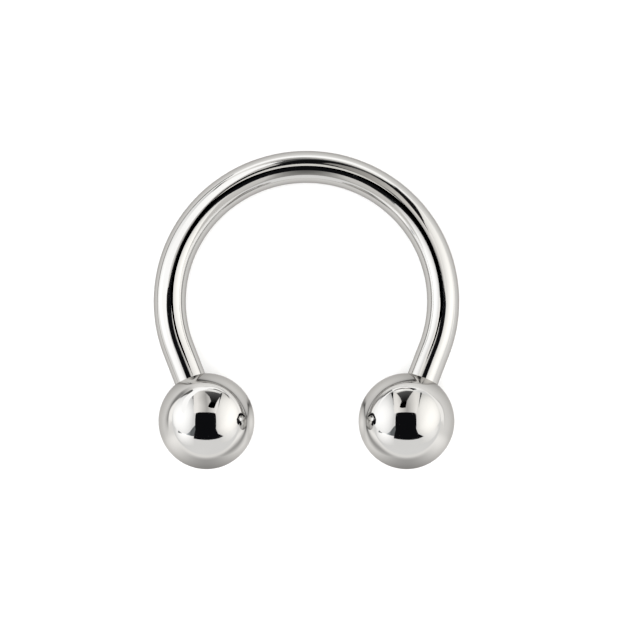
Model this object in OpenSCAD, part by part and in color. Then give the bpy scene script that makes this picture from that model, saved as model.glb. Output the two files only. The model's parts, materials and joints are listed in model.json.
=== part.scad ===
// Horseshoe barbell: a round wire bent to an arc, with a ball screwed on each of its two ends.
// It is drawn as it lies on a table: on both balls and on the crown of the arc.
// +Y points from the balls to the crown, +Z up, and the origin is on the table, midway under the outline.

/* [Horseshoe bar] */
// Diameter of the round wire (14 gauge)
bar_d = 1.6; // [1.2:0.1:2]
// Inside diameter of the arc
inner_d = 12; // [10:0.5:16]
// Angle by which the arc runs on past its widest line, at each end
arc_past = 21; // [0:1:30]
// Straight wire between the end of the arc and the mouth of the ball
straight_l = 1.65; // [0.5:0.05:4]

/* [Threaded studs] */
// Plain wire that reaches into the mouth of the ball, up to the thread's shoulder
shoulder_in = 0.45; // [0.3:0.05:0.6]
// How far the thread's crests lie below the surface of the wire
crest_below = 0.05; // [0.04:0.01:0.1]
// Depth of the thread
thread_depth = 0.19; // [0.1:0.01:0.22]
// Distance from one thread crest to the next
thread_pitch = 0.35; // [0.25:0.05:0.5]
// Width of the flat top of a crest
crest_w = 0.05; // [0.02:0.01:0.1]
// Length of the threaded stud, from its shoulder to its tip
stud_l = 2.4; // [1.8:0.1:2.6]
// Chamfer round the tip of the stud
tip_chamfer = 0.2; // [0.1:0.05:0.25]

/* [Balls] */
// Diameter of a ball (3/16 inch)
ball_d = 4.76; // [4.2:0.01:6]
// Radial clearance of the plain wire in the mouth of the ball
mouth_gap = 0.04; // [0.02:0.01:0.08]
// Width of the chamfer round the mouth
mouth_chamfer = 0.04; // [0.02:0.01:0.08]
// Radial clearance of the thread's crests in the bore
bore_gap = 0.03; // [0.02:0.01:0.04]
// Free depth of the bore past the tip of the stud
bore_past = 0.25; // [0.1:0.05:0.4]
// Play between the thread's shoulder and its seat in the ball
seat_play = 0.02; // [0.01:0.01:0.05]

/* [Hidden] */
// Overshoot of a cut past the solid that it cuts
cut = 0.1;
round_sides = 96;

// Radii of the wire, of its arc's centre line and of a ball
bar_r = bar_d / 2;
arc_r = (inner_d + bar_d) / 2;
ball_r = ball_d / 2;

// Radii of the mouth of the ball, the thread's crests and roots, and the bore round the crests
mouth_r = bar_r + mouth_gap;
crest_r = bar_r - crest_below;
root_r = crest_r - thread_depth;
bore_r = crest_r + bore_gap;

// Places along the wire, counted outwards from the end of the arc
shoulder_at = straight_l + shoulder_in;
tip_at = shoulder_at + stud_l;
bore_end_at = tip_at + bore_past;
ball_at = straight_l + sqrt(pow(ball_r, 2) - pow(mouth_r, 2));

// Grooves of the thread, one pitch apart, as many as the stud has room for
groove_w = thread_pitch - crest_w;
grooves = floor((stud_l - tip_chamfer - crest_w) / thread_pitch);

// The balls are thicker than the wire, so the lying ring tips until its crown meets the table
ball_down = arc_r * sin(arc_past) + ball_at * cos(arc_past);
lying_tilt = asin((ball_r - bar_r) / (arc_r + ball_down));
crown_y = arc_r * cos(lying_tilt) + bar_r;
foot_y = -(ball_down * cos(lying_tilt) + ball_r);
centre_y = -(crown_y + foot_y) / 2;
centre_z = arc_r * sin(lying_tilt) + bar_r;

// Lays the ring, drawn flat about the arc's centre, on the table
module as_it_lies() {
    translate([0, centre_y, centre_z]) rotate([-lying_tilt, 0, 0]) children();
}

// Frame of the right-hand end: the origin where the arc ends, +Z outwards along the wire
module at_arc_end() {
    rotate([0, 0, -arc_past]) translate([arc_r, 0, 0]) rotate([90, 0, 0]) children();
}

// Half outline of one end: straight wire, shoulder, grooved stud and chamfered tip
module end_outline() {
    groove_points = [
        for (turn = [0 : grooves - 1])
            let (start = shoulder_at + crest_w + turn * thread_pitch)
            each [[crest_r, start], [root_r, start + groove_w / 2], [crest_r, start + groove_w]]
    ];
    polygon(concat(
        [[0, 0], [bar_r, 0], [bar_r, shoulder_at], [crest_r, shoulder_at]],
        groove_points,
        [[crest_r, tip_at - tip_chamfer], [crest_r - tip_chamfer, tip_at], [0, tip_at]]
    ));
}

// Right-hand half of the bar: half a ring, cut off square where the straight end starts
module half_bar() {
    waste = 2 * (arc_r + bar_r);
    difference() {
        rotate([0, 0, -90])
            rotate_extrude(angle = 180, $fn = round_sides)
                translate([arc_r, 0]) circle(r = bar_r, $fn = round_sides);
        at_arc_end() translate([-waste, -waste / 2, 0]) cube([2 * waste, waste, waste]);
    }
    at_arc_end() rotate_extrude($fn = round_sides) end_outline();
}

module horseshoe_bar() {
    color("silver") as_it_lies() {
        half_bar();
        mirror([1, 0, 0]) half_bar();
    }
}

// Half outline of what is drilled out of a ball: mouth with a 45 degree chamfer, seat, bore
module bore_outline() {
    seat_at = shoulder_at + seat_play;
    chamfer_end = straight_l + mouth_chamfer;
    outside = ball_at - ball_r - cut;
    polygon([
        [0, outside],
        [mouth_r + chamfer_end - outside, outside],
        [mouth_r, chamfer_end],
        [mouth_r, seat_at],
        [bore_r, seat_at],
        [bore_r, bore_end_at],
        [0, bore_end_at]
    ]);
}

module right_ball() {
    at_arc_end() difference() {
        translate([0, 0, ball_at]) sphere(r = ball_r, $fn = round_sides);
        rotate_extrude($fn = round_sides) bore_outline();
    }
}

module ball_left() {
    color("gainsboro") as_it_lies() mirror([1, 0, 0]) right_ball();
}

module ball_right() {
    color("gainsboro") as_it_lies() right_ball();
}

horseshoe_bar();
ball_left();
ball_right();
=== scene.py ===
# %% [markdown]
# # A horseshoe barbell in polished steel
# A horseshoe barbell is a round steel wire bent to an open ring, with a ball screwed on each end.
# The construction model already holds its real sizes and its moving joints. This lesson loads it and
# dresses it: smooth meshes that a mirror finish needs, steel, and a small photo studio to be mirrored.

# %% Load the construction model
import json
import math

import bpy
from mathutils import Euler, Matrix, Vector


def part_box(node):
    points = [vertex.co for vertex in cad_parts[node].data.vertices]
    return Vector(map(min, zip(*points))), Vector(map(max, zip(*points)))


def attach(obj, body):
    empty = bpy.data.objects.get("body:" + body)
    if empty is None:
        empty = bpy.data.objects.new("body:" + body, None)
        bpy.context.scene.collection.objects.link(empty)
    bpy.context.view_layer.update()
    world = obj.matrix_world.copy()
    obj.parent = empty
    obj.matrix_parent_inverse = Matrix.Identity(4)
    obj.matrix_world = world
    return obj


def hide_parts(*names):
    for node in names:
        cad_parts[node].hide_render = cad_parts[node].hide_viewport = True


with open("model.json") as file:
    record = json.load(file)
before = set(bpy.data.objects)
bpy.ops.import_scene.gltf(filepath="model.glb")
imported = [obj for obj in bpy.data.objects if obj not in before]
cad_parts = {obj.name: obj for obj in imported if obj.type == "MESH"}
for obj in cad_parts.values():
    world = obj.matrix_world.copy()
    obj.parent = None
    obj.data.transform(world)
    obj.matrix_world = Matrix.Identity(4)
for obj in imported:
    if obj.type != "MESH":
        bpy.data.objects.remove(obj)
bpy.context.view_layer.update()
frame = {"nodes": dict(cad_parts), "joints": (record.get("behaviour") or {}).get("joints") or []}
print("pieces of the construction model:", sorted(frame["nodes"]))

# %% [markdown]
# ## Sizes
# The few driving sizes are those of the real jewel, in millimetres. All other places follow from them
# and from the joints of the construction model: each joint's axis is the line on which a ball unscrews.

# %% Driving sizes, in millimetres
MM = 0.001
MM_PER_METRE = 1000.0
WIRE_R = 0.8
INSIDE_D = 12.0
ARC_PAST = math.radians(21)
STRAIGHT = 1.65
SHOULDER_IN = 0.45
STUD = 2.4
CREST_BELOW = 0.05
TIP_CHAMFER = 0.2
THREAD_DEPTH = 0.19
THREAD_PITCH = 0.35
BALL_R = 2.38
MOUTH_GAP = 0.04
MOUTH_CHAMFER = 0.04
BORE_GAP = 0.03
BORE_PAST = 0.25
TAP_DEPTH = 0.11
SEAT_PLAY = 0.02

# %% Places along the wire, counted outwards from the end of the arc
arc_r = INSIDE_D / 2 + WIRE_R
crest_r = WIRE_R - CREST_BELOW
mouth_r = WIRE_R + MOUTH_GAP
bore_r = crest_r + BORE_GAP
shoulder_at = STRAIGHT + SHOULDER_IN
tip_at = shoulder_at + STUD
bore_end_at = tip_at + BORE_PAST
ball_at = STRAIGHT + math.sqrt(BALL_R ** 2 - mouth_r ** 2)
arc_half = arc_r * (math.pi / 2 + ARC_PAST)
print(f"the wire is {2 * (arc_half + tip_at):.2f} mm long from tip to tip")

# %% Frame of the lying ring, and of each of its ends
outward = {joint["child"]: Vector(joint["axis"]).normalized() for joint in frame["joints"]}
left_out, right_out = outward["left_end"], outward["right_end"]
ring_down = (left_out + right_out).normalized()
ring_across = (left_out - right_out).normalized()
ring_normal = ring_across.cross(-ring_down)
lying_tilt = math.atan2(ring_down.z, -ring_down.y)
_, bar_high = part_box("horseshoe_bar")
ring_centre = Vector((0, bar_high.y - (arc_r * math.cos(lying_tilt) + WIRE_R) * MM,
                      (arc_r * math.sin(lying_tilt) + WIRE_R) * MM))
print(f"the ring lies tipped by {math.degrees(lying_tilt):.2f} degrees about", tuple(ring_centre))


def frame_matrix(origin, x_axis, y_axis, z_axis):
    """The matrix that carries millimetres in a local frame to metres in the model."""
    turn = Matrix((x_axis, y_axis, z_axis)).transposed().to_4x4()
    return Matrix.Translation(origin) @ turn @ Matrix.Scale(MM, 4)


ring_frame = frame_matrix(ring_centre, ring_across, -ring_down, ring_normal)


def end_frame(out_axis, side):
    """The frame of one end of the arc, +Z outwards along the wire. side is 1 at the right, -1 at the left."""
    arc_end = ring_frame @ Vector((side * arc_r * math.cos(ARC_PAST), -arc_r * math.sin(ARC_PAST), 0))
    return frame_matrix(arc_end, ring_normal.cross(out_axis), ring_normal, out_axis)


# %% [markdown]
# ## Writing nodes as sums
# Both geometry nodes and shader nodes hold sums. Wrapping a socket in a small class lets Python's own
# signs add the Math nodes, so that a rule reads as it would on paper. Every other node comes from one
# method, which takes its type, its settings and its inputs.

# %% A class for sums in a node tree
class Signal:
    """What one socket puts out. Sums on it add Math nodes to its tree."""

    def __init__(self, tree, socket):
        self.tree = tree
        self.socket = socket

    @classmethod
    def node(cls, tree, kind, settings=None, inputs=None, out=0):
        """Adds a node of any kind: its settings first, then the values or signals of its inputs."""
        made = tree.nodes.new(kind)
        for name, value in (settings or {}).items():
            setattr(made, name, value)
        for name, value in (inputs or {}).items():
            if isinstance(value, Signal):
                tree.links.new(value.socket, made.inputs[name])
            else:
                made.inputs[name].default_value = value
        return cls(tree, made.outputs[out])

    def other(self, out):
        """Another output of the same node."""
        return Signal(self.tree, self.socket.node.outputs[out])

    def maths(self, operation, *others):
        """A Math node of this signal and, if it takes more, of the others."""
        values = dict(enumerate((self, *others)))
        return Signal.node(self.tree, "ShaderNodeMath", {"operation": operation}, values)

    def after(self, operation, first):
        """A Math node in which another value comes before this signal."""
        return Signal.node(self.tree, "ShaderNodeMath", {"operation": operation}, {0: first, 1: self})

    def __add__(self, more):
        return self.maths("ADD", more)

    def __radd__(self, more):
        return self.after("ADD", more)

    def __sub__(self, less):
        return self.maths("SUBTRACT", less)

    def __rsub__(self, whole):
        return self.after("SUBTRACT", whole)

    def __mul__(self, times):
        return self.maths("MULTIPLY", times)

    def __rmul__(self, times):
        return self.after("MULTIPLY", times)

    def __truediv__(self, parts):
        return self.maths("DIVIDE", parts)

    def __neg__(self):
        return self.after("SUBTRACT", 0.0)

    def __abs__(self):
        return self.maths("ABSOLUTE")

    def least(self, limit):
        """The signal, but never above limit."""
        return self.maths("MINIMUM", limit)

    def most(self, limit):
        """The signal, but never below limit."""
        return self.maths("MAXIMUM", limit)

    def within(self, low, high):
        return self.most(low).least(high)

    def sine(self):
        return self.maths("SINE")

    def cosine(self):
        return self.maths("COSINE")

    def root(self):
        return self.maths("SQRT")

    def fades(self, reach):
        """1 where the signal is 0, and fading away as it grows past reach."""
        return (self * (-1.0 / reach)).maths("EXPONENT")


def vector(x, y, z):
    """Joins three signals or numbers to one vector. At least one has to be a signal."""
    tree = next(part.tree for part in (x, y, z) if isinstance(part, Signal))
    return Signal.node(tree, "ShaderNodeCombineXYZ", None, {"X": x, "Y": y, "Z": z})


# %% [markdown]
# ## Shapes that follow a rule
# The wire and the balls could be drawn with a bevelled curve and a sphere, but then the screw thread
# and the drilled mouth would have to be patched in. Here each of them is one flat grid that Geometry
# Nodes bend by a rule: the rows run along the outline, and the columns once round it. Nothing is cut
# or joined, so the mirror finish has one unbroken surface.

# %% Helpers for a bent grid
SHARP_ANGLE = math.radians(32)
WELD = 0.0001


def start_tree(name, sizes, counts):
    """A new geometry tree with one named input for each size and count. Returns it and its signals."""
    tree = bpy.data.node_groups.new(name, "GeometryNodeTree")
    tree.interface.new_socket("Geometry", in_out="OUTPUT", socket_type="NodeSocketGeometry")
    for kind, values in (("NodeSocketFloat", sizes), ("NodeSocketInt", counts)):
        for label, value in values.items():
            socket = tree.interface.new_socket(label, in_out="INPUT", socket_type=kind)
            socket.default_value = value
    source = tree.nodes.new("NodeGroupInput")
    return tree, {label: Signal(tree, source.outputs[label]) for label in [*sizes, *counts]}


def bent_grid(tree, rows, columns):
    """A flat grid. Its signals count the row from the middle one, and give the angle round the axis."""
    grid = Signal.node(tree, "GeometryNodeMeshGrid", None, {
        "Size X": rows, "Size Y": 1.0, "Vertices X": rows + 1, "Vertices Y": columns + 1})
    place = Signal.node(tree, "GeometryNodeInputPosition")
    row = Signal.node(tree, "ShaderNodeSeparateXYZ", None, {0: place})
    return grid, row, row.other("Y") * -math.tau


def finish_tree(grid, place, material):
    """Moves the grid's points to place, welds seam and poles, keeps its UV map and sets the material."""
    tree = grid.tree
    mapped = Signal.node(tree, "GeometryNodeStoreNamedAttribute",
                         {"data_type": "FLOAT2", "domain": "CORNER"},
                         {"Geometry": grid, "Name": "UVMap", "Value": grid.other("UV Map")})
    bent = Signal.node(tree, "GeometryNodeSetPosition", None, {"Geometry": mapped, "Position": place})
    welded = Signal.node(tree, "GeometryNodeMergeByDistance", None, {"Geometry": bent, "Distance": WELD})
    whole = Signal.node(tree, "GeometryNodeRealizeInstances", None, {"Geometry": welded})
    dressed = Signal.node(tree, "GeometryNodeSetMaterial", None, {"Geometry": whole, "Material": material})
    output = tree.nodes.new("NodeGroupOutput")
    tree.links.new(dressed.socket, output.inputs["Geometry"])


def piece_from(tree, name, values, to_model):
    """Runs a tree with these inputs and keeps its result as a plain, smooth mesh in the model's frame."""
    piece = bpy.data.objects.new(name, bpy.data.meshes.new(name))
    bpy.context.scene.collection.objects.link(piece)
    modifier = piece.modifiers.new("shape", "NODES")
    modifier.node_group = tree
    for item in tree.interface.items_tree:
        if item.in_out == "INPUT" and item.name in values:
            modifier[item.identifier] = values[item.name]
    depsgraph = bpy.context.evaluated_depsgraph_get()
    made = bpy.data.meshes.new_from_object(
        piece.evaluated_get(depsgraph), preserve_all_data_layers=True, depsgraph=depsgraph)
    piece.modifiers.remove(modifier)
    made.transform(to_model)
    made.shade_smooth()
    made.set_sharp_from_angle(angle=SHARP_ANGLE)
    # the grid itself brings an empty material slot, which isn't wanted
    while made.materials[0] is None:
        made.materials.pop(index=0)
    made.name = name
    piece.data = made
    triangles = sum(len(face.vertices) - 2 for face in made.polygons)
    print(f"{name}: {triangles} triangles, {len(made.uv_layers)} UV map, {made.materials[0].name}")
    return piece


def thread_groove(turns, steepness=0.62, roundness=0.97):
    """A screw's outline: 0 on a crest, 1 at a root, with straight flanks and slightly rounded edges."""
    wave = (turns * math.tau).sine() * roundness
    flank = wave.maths("ARCSINE") / math.asin(roundness)
    return (flank * steepness + 0.5).within(0.0, 1.0)


# %% [markdown]
# ## Polished steel
# Surgical steel mirrors about six tenths of the light, and a little less of the blue, so that what is
# mirrored twice looks brown. The wire is ground round and then polished along its length: faint lines
# run round it, fainter ones along it, and here and there a hairline scratch. A ball is tumbled, so it
# only has a soft unevenness and a few random hairlines. All of that is a few hundredths of a
# millimetre wide, so it lives in roughness and bump.

# %% Colours and textures of the steel
STEEL = (0.61, 0.603, 0.59, 1.0)
STEEL_WORN = (0.55, 0.541, 0.525, 1.0)
RIM_TINT = (0.72, 0.71, 0.70, 1.0)


def noise(tree, place, scale, detail=2.0, rough=0.5):
    """Soft random unevenness, about 0.5 on average."""
    return Signal.node(tree, "ShaderNodeTexNoise", {"noise_dimensions": "3D"},
                       {"Vector": place, "Scale": scale, "Detail": detail, "Roughness": rough})


def blend(tree, share, first, second):
    """A colour between two others."""
    return Signal.node(tree, "ShaderNodeMix", {"data_type": "RGBA"}, {0: share, 6: first, 7: second}, 2)


def bump(tree, height, depth, under=None):
    """A normal raised by height times depth, in metres."""
    inputs = {"Height": height, "Distance": depth, "Strength": 1.0}
    if under is not None:
        inputs["Normal"] = under
    return Signal.node(tree, "ShaderNodeBump", None, inputs)


def steel_material(name, draw):
    """A metal whose colour, roughness and normal come from draw, a function of the tree."""
    material = bpy.data.materials.new(name)
    material.use_nodes = True
    tree = material.node_tree
    shader = tree.nodes["Principled BSDF"]
    shader.inputs["Metallic"].default_value = 1.0
    shader.inputs["Specular Tint"].default_value = RIM_TINT
    colour, roughness, normal = draw(tree)
    tree.links.new(colour.socket, shader.inputs["Base Color"])
    tree.links.new(roughness.socket, shader.inputs["Roughness"])
    tree.links.new(normal.socket, shader.inputs["Normal"])
    material.diffuse_color = STEEL
    return material


def surface_place(tree, length, radius):
    """Millimetres along and round a turned piece, read from its UV map and seamless at its join."""
    uv = Signal.node(tree, "ShaderNodeUVMap", {"uv_map": "UVMap"})
    along = Signal.node(tree, "ShaderNodeSeparateXYZ", None, {0: uv})
    angle = along.other("Y") * math.tau
    return along.other("X") * length, angle.cosine() * radius, angle.sine() * radius


def model_place(tree):
    """Where a point lies in the model: its three coordinates, in millimetres."""
    place = Signal.node(tree, "ShaderNodeTexCoord", None, None, "Object")
    parts = Signal.node(tree, "ShaderNodeSeparateXYZ", None, {0: place})
    return [part * MM_PER_METRE for part in (parts, parts.other("Y"), parts.other("Z"))]


def hairlines(tree, place, width):
    """Thin random scratches: 1 on a scratch, 0 beside it. They are the borders of stretched cells."""
    cells = Signal.node(tree, "ShaderNodeTexVoronoi", {"feature": "DISTANCE_TO_EDGE"},
                        {"Vector": place, "Scale": 1.0})
    return 1 - (cells / width).within(0.0, 1.0)


# %% The wire's steel
def draw_wire_steel(tree):
    """Lines round the wire and along it, waves of the bending, smudges and hairlines."""
    along, across, over = surface_place(tree, 2 * (arc_half + tip_at), WIRE_R)
    ground = noise(tree, vector(along * 16.0, across * 0.8, over * 0.8), 1.0, 3.0, 0.6)
    polished = noise(tree, vector(along * 0.35, across * 9.0, over * 9.0), 1.0, 3.0, 0.55)
    waves = noise(tree, vector(along * 0.5, across * 0.9, over * 0.9), 1.0, 1.0)
    scratches = hairlines(tree, vector(along * 0.22, across * 1.3, over * 1.3), 0.006)
    smudge = noise(tree, vector(along * 0.6, across * 0.8, over * 0.8), 1.0, 2.0)
    colour = blend(tree, (smudge - 0.45).within(0.0, 0.3), STEEL, STEEL_WORN)
    roughness = 0.028 + ground * 0.02 + (smudge - 0.4).most(0.0) * 0.12 + scratches * 0.06
    normal = bump(tree, waves, 9.0e-7)
    normal = bump(tree, ground * 0.6 + polished * 0.4, 4.0e-8, normal)
    return colour, roughness, bump(tree, 1 - scratches, 1.0e-7, normal)


# %% The balls' steel
def draw_ball_steel(tree):
    """A soft unevenness, a fine grain, smudges and hairlines."""
    across, along, over = model_place(tree)
    here = vector(across, along, over)
    uneven = noise(tree, here, 0.7, 1.0)
    grain = noise(tree, here, 14.0, 3.0, 0.6)
    smudge = noise(tree, here, 0.55, 2.0)
    scratches = hairlines(tree, vector(across * 0.9, along * 0.3, over * 0.5), 0.004)
    colour = blend(tree, (smudge - 0.45).within(0.0, 0.3), STEEL, STEEL_WORN)
    roughness = 0.022 + grain * 0.016 + (smudge - 0.4).most(0.0) * 0.1 + scratches * 0.05
    normal = bump(tree, uneven, 8.0e-7)
    normal = bump(tree, grain, 2.5e-8, normal)
    return colour, roughness, bump(tree, 1 - scratches, 8.0e-8, normal)


wire_steel = steel_material("wire steel", draw_wire_steel)
ball_steel = steel_material("ball steel", draw_ball_steel)
print("materials:", wire_steel.name, "and", ball_steel.name)

# %% [markdown]
# ## The bent wire with its threaded studs
# The real wire is cut to length, threaded at both ends and bent round a mandrel. Its rule is short: on
# the arc the row's length turns into an angle, and past the arc the wire runs on straight. Its radius
# steps down at the shoulder, a thread winds round the stud, and the last rows close the chamfered tip.

# %% The wire's rule
END_ROW = 0.024


def make_wire_tree(material):
    """The wire in the ring's own frame, in millimetres, with X across the ring and Y towards its crown."""
    sizes = {"Wire radius": WIRE_R, "Arc radius": arc_r, "Arc half length": arc_half,
             "Shoulder": shoulder_at, "Tip": tip_at, "Crest radius": crest_r,
             "Thread depth": THREAD_DEPTH, "Pitch": THREAD_PITCH, "Tip chamfer": TIP_CHAMFER,
             "End row": END_ROW}
    counts = {"Arc rows": 60, "End rows": 212, "Columns": 40}
    tree, size = start_tree("bent wire", sizes, counts)
    rows = 2 * (size["Arc rows"] + size["End rows"])
    grid, row, angle = bent_grid(tree, rows, size["Columns"])
    side = row.maths("SIGN")
    step = abs(row)
    on_arc = step.least(size["Arc rows"]) / size["Arc rows"] * size["Arc half length"]
    outline = (step - size["Arc rows"]).most(0.0) * size["End row"]
    past_arc = outline.least(size["Tip"])
    tip_face = (outline - size["Tip"]).most(0.0)

    step_down = size["Wire radius"] - size["Crest radius"]
    shoulder = (past_arc - (size["Shoulder"] - step_down)).within(0.0, step_down)
    turns = past_arc / size["Pitch"] - side * angle / math.tau
    run_in = ((past_arc - size["Shoulder"]) / size["Pitch"] - 0.15).within(0.0, 1.0)
    groove = thread_groove(turns) * run_in * size["Thread depth"]
    chamfer = (past_arc - (size["Tip"] - size["Tip chamfer"])).most(0.0)
    radius = size["Wire radius"] - shoulder - groove.most(chamfer)
    radius = (radius - tip_face).most(0.0)

    turn = side * on_arc / size["Arc radius"]
    past = side * past_arc
    out = size["Arc radius"] + radius * angle.cosine()
    place = vector(out * turn.sine() + past * turn.cosine(),
                   out * turn.cosine() - past * turn.sine(),
                   radius * angle.sine())
    finish_tree(grid, place, material)
    return tree


wire_tree = make_wire_tree(wire_steel)
bar = piece_from(wire_tree, "polished_bar", {"Arc rows": 120, "Columns": 80}, ring_frame)

# %% [markdown]
# ## The drilled balls
# A real ball is ground round, drilled, and tapped. Its outline starts at the pole opposite the mouth,
# follows the sphere, turns in over the mouth's small chamfer, and goes down the bore to its end. The
# bore's own thread is cut outwards from the bore, so it stays clear of the stud that slides in it.

# %% The ball's rule
BORE_ROW = 0.022


def rim_of(chamfer_end):
    """How far out a chamfer at 45 degrees reaches before it meets the sphere."""
    low, high = 0.0, BALL_R
    while high - low > 1e-9:
        middle = (low + high) / 2
        height = math.sqrt(max(BALL_R ** 2 - (mouth_r + middle) ** 2, 0.0))
        inside = ball_at - height < chamfer_end - middle
        low, high = (middle, high) if inside else (low, middle)
    return low


def make_ball_tree(material):
    """A ball in the frame of its end of the arc, in millimetres, with Z outwards along the stud."""
    chamfer_end = STRAIGHT + MOUTH_CHAMFER
    rim = rim_of(chamfer_end)
    seat_at = shoulder_at + SEAT_PLAY
    rim_angle = math.pi - math.asin((mouth_r + rim) / BALL_R)
    sizes = {"Ball radius": BALL_R, "Ball centre": ball_at, "Rim angle": rim_angle,
             "Chamfer": rim, "Chamfer end": chamfer_end, "Mouth radius": mouth_r, "Seat": seat_at,
             "Bore radius": bore_r, "Bore end": bore_end_at, "Pitch": THREAD_PITCH,
             "Thread depth": TAP_DEPTH, "Bore row": BORE_ROW}
    counts = {"Ball rows": 48, "Bore rows": 180, "Columns": 48}
    tree, size = start_tree("drilled ball", sizes, counts)
    rows = size["Ball rows"] + size["Bore rows"]
    grid, middle_row, angle = bent_grid(tree, rows, size["Columns"])
    row = middle_row + rows / 2

    polar = row.least(size["Ball rows"]) / size["Ball rows"] * size["Rim angle"]
    down_bore = (row - size["Ball rows"]).most(0.0) * size["Bore row"]
    chamfer = down_bore.least(size["Chamfer"])
    mouth_l = size["Seat"] - size["Chamfer end"]
    mouth = (down_bore - size["Chamfer"]).within(0.0, mouth_l)
    seat_w = size["Mouth radius"] - size["Bore radius"]
    seat = (down_bore - size["Chamfer"] - mouth_l).within(0.0, seat_w)
    bore_l = size["Bore end"] - size["Seat"]
    bore = (down_bore - size["Chamfer"] - mouth_l - seat_w).within(0.0, bore_l)
    floor = (down_bore - size["Chamfer"] - mouth_l - seat_w - bore_l).within(0.0, size["Bore radius"])

    height = size["Ball centre"] + polar.cosine() * size["Ball radius"] + chamfer + mouth + bore
    turns = height / size["Pitch"] - angle / math.tau
    run_in = (bore / size["Pitch"]).within(0.0, 1.0)
    run_out = ((bore_l - bore) / size["Pitch"]).within(0.0, 1.0)
    groove = thread_groove(turns) * run_in * run_out * size["Thread depth"]
    radius = (polar.sine() * size["Ball radius"] - chamfer - seat - floor + groove).most(0.0)
    finish_tree(grid, vector(radius * angle.cosine(), radius * angle.sine(), height), material)
    return tree


ball_tree = make_ball_tree(ball_steel)
fineness = {"Ball rows": 96, "Columns": 96}
left_ball = piece_from(ball_tree, "polished_ball_left", fineness, end_frame(left_out, -1))
right_ball = piece_from(ball_tree, "polished_ball_right", fineness, end_frame(right_out, 1))

# %% [markdown]
# ## Which piece moves with what
# Each finished piece stands for one solid of the construction model, which is hidden, and rides on the
# same body, so that a ball slides off its stud just as the joint says.

# %% Ride on the bodies
for piece, node, body, finish in (
        (bar, "horseshoe_bar", "bar", "bar_steel"),
        (left_ball, "ball_left", "left_end", "ball_steel"),
        (right_ball, "ball_right", "right_end", "ball_steel")):
    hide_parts(node)
    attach(piece, body)
    low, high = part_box(node)
    points = [vertex.co for vertex in piece.data.vertices]
    gap = max(max(abs(min(p[i] for p in points) - low[i]), abs(max(p[i] for p in points) - high[i]))
              for i in range(3))
    print(f"{piece.name} fills the box of {node} to {gap / MM:.4f} mm")

# %% [markdown]
# ## A studio made to be mirrored
# Polished steel has hardly a look of its own: it shows the room. So the room is built like a
# photographer's table: a pale sweep to lie on, a bright tent, a large window of light at either side,
# a panel behind, and the dark of the camera in the middle. A ball mirrors every direction once, so
# each card is placed by the degrees, to the right of the lens and above it, at which a ball shows it.

# %% The camera
PHOTO = 620
PIXELS_PER_MM = 20.1
CAMERA_ELEVATION = math.radians(87)
CAMERA_DISTANCE = 0.30
SENSOR = 36.0
to_camera = Vector((0, -math.cos(CAMERA_ELEVATION), math.sin(CAMERA_ELEVATION)))
image_up = Vector((0, math.sin(CAMERA_ELEVATION), math.cos(CAMERA_ELEVATION)))
image_right = Vector((1, 0, 0))
aim = Vector((0.176, -0.03, 1.6)) * MM
camera_data = bpy.data.cameras.new("camera")
camera_data.sensor_width = SENSOR
camera_data.lens = SENSOR * CAMERA_DISTANCE * PIXELS_PER_MM / (PHOTO * MM)
camera_data.clip_start = 0.01
camera_data.clip_end = 10.0
camera = bpy.data.objects.new("camera", camera_data)
camera.location = aim + to_camera * CAMERA_DISTANCE
camera.rotation_euler = Euler((math.pi / 2 - CAMERA_ELEVATION, 0, 0))
bpy.context.scene.collection.objects.link(camera)
bpy.context.scene.camera = camera
print(f"lens {camera_data.lens:.0f} mm at {CAMERA_DISTANCE / MM:.0f} mm")


# %% Cards of light and dark
def towards(right, up):
    """The direction that a ball mirrors at these degrees to the right of the lens and above it."""
    off_lens = math.radians(math.hypot(right, up))
    around = math.atan2(up, right)
    sideways = image_right * math.cos(around) + image_up * math.sin(around)
    return sideways * math.sin(off_lens) + to_camera * math.cos(off_lens)


def glow_material(name, colour, glow):
    """A card that glows. glow tells how brightly: one number, or a function of the tree."""
    material = bpy.data.materials.new(name)
    material.use_nodes = True
    tree = material.node_tree
    tree.nodes.clear()
    if callable(glow):
        shade = Signal.node(tree, "ShaderNodeVectorMath", {"operation": "SCALE"},
                            {0: colour, "Scale": glow(tree)})
    else:
        shade = (*(part * glow for part in colour), 1.0)
    light = Signal.node(tree, "ShaderNodeEmission", None, {"Color": shade, "Strength": 1.0})
    output = tree.nodes.new("ShaderNodeOutputMaterial")
    tree.links.new(light.socket, output.inputs["Surface"])
    return material


def card_place(tree):
    """Where on a card a point lies: the share of its width, and the share of its height."""
    uv = Signal.node(tree, "ShaderNodeTexCoord", None, None, "UV")
    right = Signal.node(tree, "ShaderNodeSeparateXYZ", None, {0: uv})
    return right, right.other("Y")


def soft_glow(strength, rim):
    """Brightest a little below the middle of a card, and about rim times that at its corners."""
    def glow(tree):
        right, up = card_place(tree)
        across, over = right - 0.5, up - 0.42
        return (1 - (across * across + over * over) * 2.0 * (1 - rim)) * strength
    return glow


def rising_glow(low, high):
    """As dim as low along a card's sides and its lower edge, and up to high at the middle of its top."""
    def glow(tree):
        right, up = card_place(tree)
        across = right * 2.0 - 1.0
        return up * (1 - across * across) * (high - low) + low
    return glow


def panel_glow(tree):
    """Greyer towards the middle of the panel, and a little greyer towards its top."""
    right, up = card_place(tree)
    return (abs(right - 0.5) * 2.3 + 0.62).least(1.35) * (1 - up * 0.12)


def wedge_glow(tree):
    """Black at the foot, a very dark grey towards the top."""
    _, up = card_place(tree)
    return up * 0.12 + 0.005


def stand_glow(tree):
    """Dark beside the camera's back, lighter away from it."""
    right, _ = card_place(tree)
    return (0.5 - right).most(0.0) * 1.6 + 0.2


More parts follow.
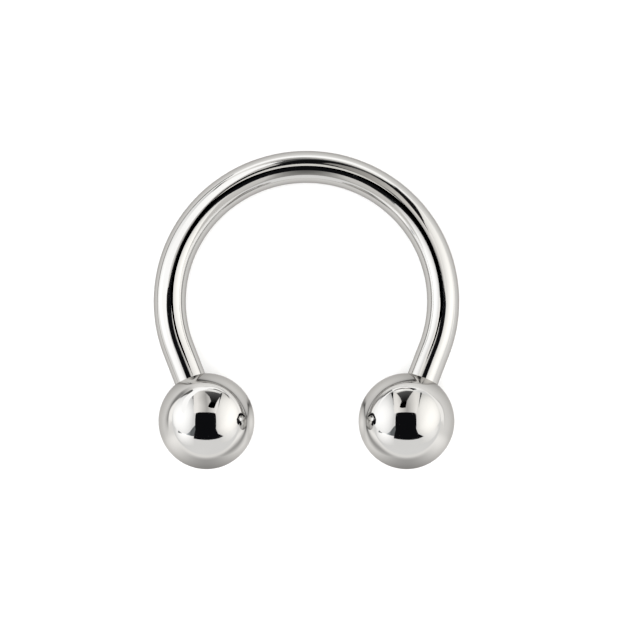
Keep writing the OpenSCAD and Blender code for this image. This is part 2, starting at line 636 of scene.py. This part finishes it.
def card(name, material, points, faces=None, shares=None, only_mirrored=False):
    """A card through these points. The camera never sees it. The mirror always does, and the table gets
    light from it too, unless it is only mirrored. shares tell where on the card each corner lies."""
    mesh = bpy.data.meshes.new(name)
    mesh.from_pydata(points, [], faces or [range(len(points))])
    uv_map = mesh.uv_layers.new(name="UVMap")
    for loop in mesh.loops:
        uv_map.data[loop.index].uv = shares[loop.vertex_index] if shares else (0.5, 0.5)
    mesh.materials.append(material)
    made = bpy.data.objects.new(name, mesh)
    bpy.context.scene.collection.objects.link(made)
    made.visible_camera = False
    made.visible_diffuse = not only_mirrored
    made.visible_shadow = not only_mirrored


def far_card(name, material, corners, distance, only_mirrored=False):
    """A far card whose corners lie in these directions, in degrees right of the lens and above it."""
    low = [min(corner[i] for corner in corners) for i in range(2)]
    high = [max(corner[i] for corner in corners) for i in range(2)]
    shares = [[(corner[i] - low[i]) / (high[i] - low[i]) for i in range(2)] for corner in corners]
    points = [ring_centre + towards(*corner) * distance for corner in corners]
    card(name, material, points, None, shares, only_mirrored)


# %% [markdown]
# The windows are soft: bright in the middle, greyer at their rims, with a glow on the sill below. Between
# them stand a grey panel and thin dark gaps, as where two screens don't quite meet. Dark things are only
# mirrored here, so that they take no light from the table. What stands nearer hides what is farther off.

# %% Windows, panel and gaps
TENT = 1.05
SILL_AT, WINDOW_AT, GAP_AT, STAND_AT, CAMERA_AT = 0.46, 0.45, 0.43, 0.41, 0.40
left_light = glow_material("left window light", (0.99, 0.995, 1.0), soft_glow(1.75, 0.3))
right_light = glow_material("right window light", (1.0, 0.99, 0.965), soft_glow(1.75, 0.3))
back_light = glow_material("back light", (1.0, 1.0, 0.995), soft_glow(1.7, 0.4))
panel_light = glow_material("panel light", (1.0, 0.985, 0.96), panel_glow)
left_sill_light = glow_material("left sill light", (1.0, 1.0, 1.0), rising_glow(TENT, 2.0))
right_sill_light = glow_material("right sill light", (1.0, 0.995, 0.985), rising_glow(TENT, 1.6))
dark_cloth = glow_material("dark cloth", (0.8, 0.85, 1.0), 0.008)
dim_cloth = glow_material("dim cloth", (0.9, 0.96, 1.0), soft_glow(0.24, 0.8))
stand_cloth = glow_material("stand cloth", (0.9, 0.96, 1.0), stand_glow)
rim_cloth = glow_material("rim cloth", (1.0, 1.0, 0.98), 0.17)
wedge_cloth = glow_material("wedge cloth", (1.0, 1.0, 1.0), wedge_glow)

far_card("left window", left_light, [
    (-31, -33), (-30, 20), (-32, 45), (-36, 72), (-60, 66), (-78, 54), (-86, 36), (-89, 10), (-86, -8),
    (-72, -26), (-52, -31)], WINDOW_AT)
far_card("right window", right_light, [
    (38, -34), (60, -27), (78, -14), (87, 2), (89, 22), (84, 42), (72, 56), (54, 68), (38, 72),
    (31, 45), (23, 20), (23, -20)], WINDOW_AT)
far_card("left sill", left_sill_light, [
    (-30, -62), (-28, -34), (-31, -33), (-52, -31), (-72, -26), (-80, -18), (-76, -40), (-58, -58)],
    SILL_AT)
far_card("right sill", right_sill_light, [
    (34, -56), (38, -34), (60, -27), (78, -14), (84, -14), (74, -36), (58, -50)], SILL_AT)
far_card("back window", back_light, [
    (-48, 77), (-20, 76), (20, 76), (48, 77), (44, 88), (0, 92), (-44, 88)], WINDOW_AT)
far_card("back panel", panel_light, [
    (-30, 19), (23, 19), (30, 45), (35, 73), (-34, 73), (-31, 45)], WINDOW_AT)
far_card("left gap", dark_cloth, [(-30.5, 34), (-34, 54), (-41, 76), (-34, 76), (-33, 54)], GAP_AT, True)
far_card("right gap", dark_cloth, [(28.5, 30), (34, 52), (42, 74), (37, 74), (32.5, 52)], GAP_AT, True)
far_card("left rim", rim_cloth, [
    (-36, 75), (-38, 84), (-48, 82), (-68, 72), (-90, 48), (-88, 36), (-79, 50), (-62, 65), (-44, 71.5)],
    GAP_AT, True)
far_card("camera back", dark_cloth, [
    (-19, 21), (-24.5, 19.5), (-26, 15), (-26, -20), (-31, -42), (-12, -44.5), (10, -44.5), (30, -42),
    (42, -37), (28, -30), (23, -18), (23, 14), (21.5, 19), (17, 20.5)], CAMERA_AT, True)
far_card("left stand", stand_cloth, [
    (-25, -8), (-30, -13), (-35, -19), (-40, -26), (-50, -32.5), (-34, -36), (-25, -36)], STAND_AT, True)
far_card("left weight", dim_cloth, [(-70, -24), (-72, -29), (-60, -31)], STAND_AT, True)

# %% [markdown]
# Some cards are held so close that each part of the jewel mirrors them at another place. A dark wedge
# stands behind the crown. Flat ribbons hang a few millimetres above the wire and follow it. They split its
# dark reflection in lines, as on a wire that is photographed from near by.

# %% The wedge, and helpers for ribbons
WEDGE = [(-7, 27, 13.5), (11.5, 23, 10.5), (5.2, 12, 19.5), (3.8, 7.5, 25.7), (-0.5, 6.8, 24.8),
         (-2.8, 8.8, 25.7), (-1.9, 11.4, 24.4), (-0.2, 13.4, 21.0), (-1.8, 17.5, 17.4)]
WEDGE_FOOT, WEDGE_TOP = 12, 23
card("dark wedge", wedge_cloth, [Vector(corner) * MM for corner in WEDGE], only_mirrored=True,
     shares=[(0.5, (corner[1] - WEDGE_FOOT) / (WEDGE_TOP - WEDGE_FOOT)) for corner in WEDGE])


def ring_ribbon(name, material, stations):
    """A ribbon along the wire. A station gives its degrees to the right of the crown, and for each edge
    of the ribbon how far outside the wire's middle and how high above it the edge runs there."""
    points, shares = [], []
    for (start, *before), (end, *after) in zip(stations, stations[1:]):
        steps = max(2, round((end - start) / 3))
        for step in range(steps + 1):
            share = step / steps
            share = share * share * (3 - 2 * share)
            angle = math.radians(start + (end - start) * step / steps)
            along = (math.degrees(angle) - stations[0][0]) / (stations[-1][0] - stations[0][0])
            for edge, ((out_a, up_a), (out_b, up_b)) in enumerate(zip(before, after)):
                radius = arc_r + out_a + (out_b - out_a) * share
                height = up_a + (up_b - up_a) * share
                place = Vector((radius * math.sin(angle), radius * math.cos(angle), height))
                points.append(ring_frame @ place)
                shares.append((along, edge))
    faces = [(i, i + 1, i + 3, i + 2) for i in range(0, len(points) - 2, 2)]
    card(name, material, points, faces, shares, True)
    print(f"{name}: {len(faces)} faces along {stations[-1][0] - stations[0][0]} degrees of the wire")


def near_arc(name, material, inner, outer, start, end, height):
    """A flat ribbon above the wire, from inner to outer beside its middle, tapered to its ends."""
    middle, half = (inner + outer) / 2, (outer - inner) / 2
    stations = []
    for share, width in ((0, 0), (0.12, 0.42), (0.3, 0.84), (0.5, 1), (0.7, 0.84), (0.88, 0.42), (1, 0)):
        stations.append((start + (end - start) * share,
                         (middle - half * width, height), (middle + half * width, height)))
    ring_ribbon(name, material, stations)


def level(height, *stations):
    """Stations of a flat ribbon from (degrees, first edge, second edge), all at one height."""
    return [(degrees, (first, height), (second, height)) for degrees, first, second in stations]


# %% Ribbons above the wire
SHADE_FROM, SHADE_TO = -58, 50
CROWN_REACH = 16


def crown_shade_glow(tree):
    """Dark above the crown, lighter away from it to both sides and towards the middle of the ring."""
    along, inwards = card_place(tree)
    from_crown = (along * (SHADE_TO - SHADE_FROM) + SHADE_FROM) / CROWN_REACH
    aside = (from_crown * from_crown).within(0.0, 1.0)
    return (0.17 + inwards * 0.3) * (1 - aside) + (0.9 - inwards * 0.1) * aside


def grey_arc_glow(tree):
    """Rising along the arc, away from the crown."""
    along, _ = card_place(tree)
    return along * along * 0.9 + 0.36


bright_cloth = glow_material("bright cloth", (1.0, 0.985, 0.95), 1.0)
white_cloth = glow_material("white cloth", (0.99, 0.995, 1.0), 1.6)
grey_cloth = glow_material("grey cloth", (1.0, 0.97, 0.93), grey_arc_glow)
shade_cloth = glow_material("shade cloth", (1.0, 0.985, 0.96), crown_shade_glow)
near_arc("bright arc", bright_cloth, -0.35, 0.85, -40, 42, 4.9)
near_arc("white arc behind", white_cloth, 4.0, 11.0, -50, 62, 2.6)
near_arc("grey arc", grey_cloth, 0.7, 4.2, 2, 52, 5.1)
ring_ribbon("white arc", white_cloth, level(
    5.2, (-118, 4.7, 4.7), (-104, 3.0, 6.2), (-80, 1.8, 7.6), (-43, 1.4, 8.0), (-29, 1.9, 7.5),
    (-16, 3.3, 6.1), (-8, 4.7, 4.7)))
ring_ribbon("crown shade", shade_cloth, level(
    2.5, (SHADE_FROM, -4.6, -4.8), (-45, -2.3, -4.8), (-38, -1.7, -4.9), (-22, -1.6, -5.0), (0, -1.6, -6.4),
    (22, -1.6, -5.0), (38, -1.9, -4.8), (46, -2.6, -4.6), (SHADE_TO, -3.4, -4.4)))
ring_ribbon("dark band", dark_cloth, level(
    5.0, (-45, 0.6, 0.7), (-15, 0.5, 1.8), (0, 0.8, 4.2), (12, 2.9, 4.7), (20, 3.7, 4.1), (25, 4.2, 4.25),
    (31, 4.2, 7.4), (38, 3.7, 9.0), (44, 2.9, 8.6), (49, 2.5, 5.4), (53, 2.3, 3.0), (57, 2.3, 2.4)))

# %% [markdown]
# Halfway between the balls hang two scraps, a dark hook and a light one inside it. Each ball mirrors them
# on the small image of the other ball, which gives that image its dark rim and its glint. Their corners
# are given in millimetres, as y and z.

# %% The scraps between the balls
HOOK = [(-6.2, 4.25), (-6.2, 4.55), (-5.95, 4.8), (-5.4, 4.88), (-4.95, 4.62), (-4.55, 4.25), (-4.4, 3.8),
        (-4.55, 3.3), (-4.85, 2.8), (-5.2, 2.5), (-5.05, 2.95), (-4.85, 3.4), (-4.8, 3.8), (-4.95, 4.15),
        (-5.2, 4.38), (-5.5, 4.3), (-5.8, 4.15)]
GLINT = [(-5.6, 3.75), (-5.62, 4.0), (-5.45, 4.15), (-5.2, 4.1), (-5.1, 3.9), (-5.2, 3.7)]
card("hook", dark_cloth, [Vector((0, y, z)) * MM for y, z in HOOK], only_mirrored=True)
card("glint", white_cloth, [Vector((0, y, z)) * MM for y, z in GLINT], only_mirrored=True)
print(f"hook of {len(HOOK)} corners, glint of {len(GLINT)}")

# %% [markdown]
# ## The table
# The paper sweep curves up all round, so that no horizon shows. A studio picture is lit until the paper
# is white, but polished steel still mirrors how grey the table is close to the jewel. A second, thin
# layer on the table is seen by the mirror only. Its grey is painted shade and light: a painted contact
# shadow under the wire and the balls, a darker painted shadow in front of each ball, painted light
# beside and between them, and painted shade where the light of the windows ends and far away at the
# back left. Its places and sizes are in millimetres.

# %% Painted shade and light on the table
AROUND = 96
TABLE_R = 500.0
LAYER_AT = 0.01
RING_ENDS_Y = -4.5
LIGHT_ENDS = 15.5
UNLIT_FROM = 14.0
FRONT_Y = -9.0
CONTACT_AHEAD = 1.4
LANE_ENDS = 28.0
ball_centre = end_frame(right_out, 1) @ Vector((0, 0, ball_at)) / MM


def lit_edge(x, ring_y, from_centre, behind):
    """How much the windows brighten the table, and how dark the edge of their light is."""
    narrowed = x * 0.74
    backwards = ring_y / from_centre
    farther = backwards * backwards * behind * 4.0 + 1
    from_edge = (narrowed * narrowed + ring_y * ring_y).root() / farther - LIGHT_ENDS
    windows = (from_edge / 3.0).within(0.0, 1.0) * behind * (abs(x) / from_centre) * 0.3
    nearer = (-from_edge).most(0.0)
    edge = nearer.fades(0.9) * (1 - from_edge / 0.8).within(0.0, 1.0) * behind * 0.4
    return windows, edge


def unlit_corner(x, y, from_centre):
    """The dark part of the table at the back left, where no window's light reaches."""
    turned = ((-x - ball_centre.x) / (y - ball_centre.y).most(0.3) / 0.5 - 0.7).within(0.0, 1.0)
    turned = turned * ((y - FRONT_Y) / 4.0).within(0.0, 1.0)
    before_light = ((x * 0.7 + y.most(-0.5) * 0.71 + 17.7) / 4.0).within(0.0, 1.0)
    return ((from_centre - UNLIT_FROM) / 6.5).within(0.0, 1.0) * turned * before_light * 0.66


def painted_shadow_and_light_ahead_of_balls(beside, ahead):
    """A dark painted shadow ahead of each ball, darkest at its contact, and pale painted light on both sides
    of it.
    """
    slant = beside / ahead.most(0.3)
    # painted shadow ahead of the ball
    lane = (slant * slant).fades(0.45) * ((ahead - 0.3) / 0.8).within(0.0, 1.0)
    lane = lane * ((LANE_ENDS - ahead) / 16.0).within(0.0, 1.0)
    from_contact = ahead - CONTACT_AHEAD
    dark = lane * (0.5 + (from_contact * from_contact).fades(1.0) * 0.42)
    # painted light on both sides of the painted shadow
    from_fan = abs(slant) - 1.7
    painted_light_beside = (from_fan * from_fan).fades(0.8) * ((ahead - 0.5) / 2.0).within(0.0, 1.0) * 0.22
    return dark, painted_light_beside


def painted_shadow_and_light_between_balls(x, y):
    """A dark painted shadow of the other ball across the middle, and a pale painted light in front of it."""
    # painted shadow of the other ball across the middle
    from_streak = y + 3.6 + abs(x) * 0.3
    painted_shadow_streak = (from_streak * from_streak).fades(0.14) * (1 - abs(x) / 5.5).within(0.0, 1.0)
    # painted light in front of the painted shadow
    over_spot = y + 5.6
    painted_light_spot = (x * x / 3.0 + over_spot * over_spot).fades(1.1)
    return painted_shadow_streak, painted_light_spot


def painted_table_shade_and_light(tree):
    """Painted shade and light: a painted contact shadow, darkest close to the steel and lighter away from it,
    and painted marks of the windows' light.
    """
    x, y, _ = model_place(tree)
    ring_y = y - ring_centre.y / MM
    from_centre = (x * x + ring_y * ring_y).root()
    from_wire = abs(from_centre - arc_r) + (RING_ENDS_Y - y).most(0.0) * 2.0
    beside, ahead = abs(x) - ball_centre.x, ball_centre.y - y
    near = from_wire.least((beside * beside + ahead * ahead).root())
    # painted contact shadow: the grey is lowest next to the wire and the balls
    grey = 0.26 + (1 - near.fades(0.8)) * 0.44 + (1 - near.fades(5.0)) * 0.4

    # painted shadow right under the wire
    painted_shadow_under_wire = (from_wire * from_wire).fades(0.12)
    behind = ((y - FRONT_Y) / 6.0).within(0.0, 1.0)
    windows, edge = lit_edge(x, ring_y, from_centre, behind)
    unlit = unlit_corner(x, y, from_centre)
    dark, painted_light_beside = painted_shadow_and_light_ahead_of_balls(beside, ahead)
    painted_shadow_streak, painted_light_spot = painted_shadow_and_light_between_balls(x, y)
    # the painted light brightens the grey, and each painted shade darkens it
    lit = grey * (1 + windows + painted_light_beside + painted_light_spot * 0.5)
    return lit * (1 - edge) * (1 - unlit) * (1 - dark) * (1 - painted_shadow_under_wire * 0.85) * (1 - painted_shadow_streak * 0.85)


# %% The layer of painted shade and light that the steel mirrors
painted_layer_material = glow_material("painted shade and light of the table", (1.0, 0.99, 0.975), painted_table_shade_and_light)
layer_rim = [math.tau * step / AROUND for step in range(AROUND)]
card("table layer of painted shade and light", painted_layer_material,
     [Vector((TABLE_R * math.cos(angle), TABLE_R * math.sin(angle), LAYER_AT)) * MM for angle in layer_rim],
     only_mirrored=True)
print(f"the table's grey is the sum of {len(painted_layer_material.node_tree.nodes)} nodes")

# %% The paper sweep, in metres
SWEEP_R = 0.55
SWEEP_H = 0.16


def make_sweep():
    """A round table that curves up at its edge, so that no horizon shows behind the jewel."""
    rings = [(SWEEP_R * share, 0.0) for share in (0.02, 0.08, 0.3, 0.7, 1.0)]
    rings += [(SWEEP_R + SWEEP_H * math.sin(bend), SWEEP_H * (1 - math.cos(bend)))
              for bend in (math.radians(10 * step) for step in range(1, 10))]
    points = [(0, 0, 0)]
    for radius, height in rings:
        for step in range(AROUND):
            angle = math.tau * step / AROUND
            points.append((radius * math.cos(angle), radius * math.sin(angle), height))
    faces = [(0, 1 + step, 1 + (step + 1) % AROUND) for step in range(AROUND)]
    for ring in range(len(rings) - 1):
        first = 1 + ring * AROUND
        for step in range(AROUND):
            following = (step + 1) % AROUND
            faces.append((first + step, first + AROUND + step,
                          first + AROUND + following, first + following))
    mesh = bpy.data.meshes.new("sweep")
    mesh.from_pydata(points, [], faces)
    mesh.shade_smooth()
    return mesh


paper = bpy.data.materials.new("white paper")
paper.use_nodes = True
paper_shader = paper.node_tree.nodes["Principled BSDF"]
paper_shader.inputs["Base Color"].default_value = (0.94, 0.94, 0.94, 1.0)
paper_shader.inputs["Roughness"].default_value = 0.6
paper_shader.inputs["Specular IOR Level"].default_value = 0.2
sweep = bpy.data.objects.new("sweep", make_sweep())
sweep.data.materials.append(paper)
sweep.visible_glossy = False
bpy.context.scene.collection.objects.link(sweep)
print(f"the sweep is {2 * (SWEEP_R + SWEEP_H):.2f} m across and {SWEEP_H:.2f} m high")

# %% [markdown]
# The tent gives the even light between the windows. A wide soft light overhead brightens the paper and
# keeps the shadow faint. It isn't mirrored, because a real one would hang outside what the steel shows.

# %% Tent and overhead light, in metres and watts
OVERHEAD_ACROSS, OVERHEAD_HEIGHT, OVERHEAD_POWER = 0.7, 0.5, 2.8
world = bpy.data.worlds.new("tent")
world.use_nodes = True
world.node_tree.nodes["Background"].inputs["Color"].default_value = (1.0, 1.0, 1.0, 1.0)
world.node_tree.nodes["Background"].inputs["Strength"].default_value = TENT
bpy.context.scene.world = world

overhead_data = bpy.data.lights.new("overhead", "AREA")
overhead_data.shape = "DISK"
overhead_data.size = OVERHEAD_ACROSS
overhead_data.energy = OVERHEAD_POWER
overhead = bpy.data.objects.new("overhead", overhead_data)
overhead.location = (0, 0, OVERHEAD_HEIGHT)
overhead.visible_camera = False
overhead.visible_glossy = False
bpy.context.scene.collection.objects.link(overhead)

bpy.context.scene.view_settings.view_transform = "Standard"
bpy.context.scene.cycles.glossy_bounces = 8
print("lights:", [light.name for light in bpy.data.lights], "and the tent")
